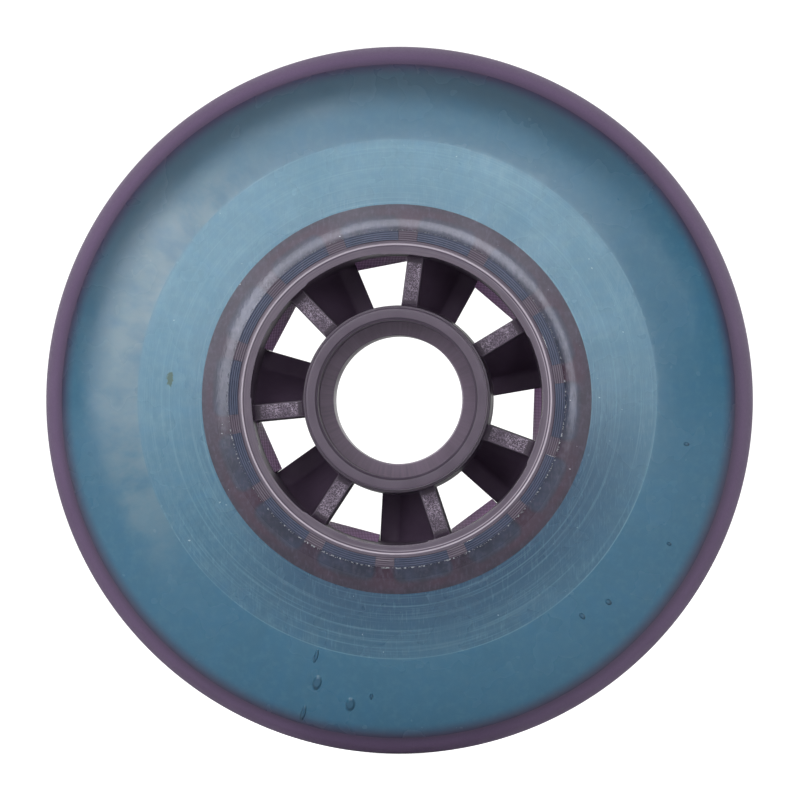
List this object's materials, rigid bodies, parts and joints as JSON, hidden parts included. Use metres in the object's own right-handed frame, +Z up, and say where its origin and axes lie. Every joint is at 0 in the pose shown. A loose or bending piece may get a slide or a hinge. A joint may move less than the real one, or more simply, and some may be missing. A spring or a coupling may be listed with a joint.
{
  "type": "cast urethane wheel",
  "caption": "Bare two-colour cast urethane wheel on a bladed plastic hub, with seats for two ball bearings and an open axle bore.",
  "frame": {"origin": "centre of the wheel, on the axle line in the middle plane", "axes": "+Y along the axle towards the rear face, +Z up, +X to the right as seen from the front face"},
  "size_m": [0.1, 0.0242, 0.1],
  "materials": {
    "hub_plastic": "dark purple moulded nylon, satin, turned rim edge with fine tool lines, spark-eroded texture on the blade faces",
    "inner_urethane": "translucent teal cast urethane, fine turning lines and haze on the side face, glossy shoulder",
    "outer_tread": "matt purple cast urethane"
  },
  "bodies": {
    "root": {"hub_core": "hub_plastic", "inner_urethane": "inner_urethane", "outer_tread": "outer_tread"}
  },
  "joints": []
}
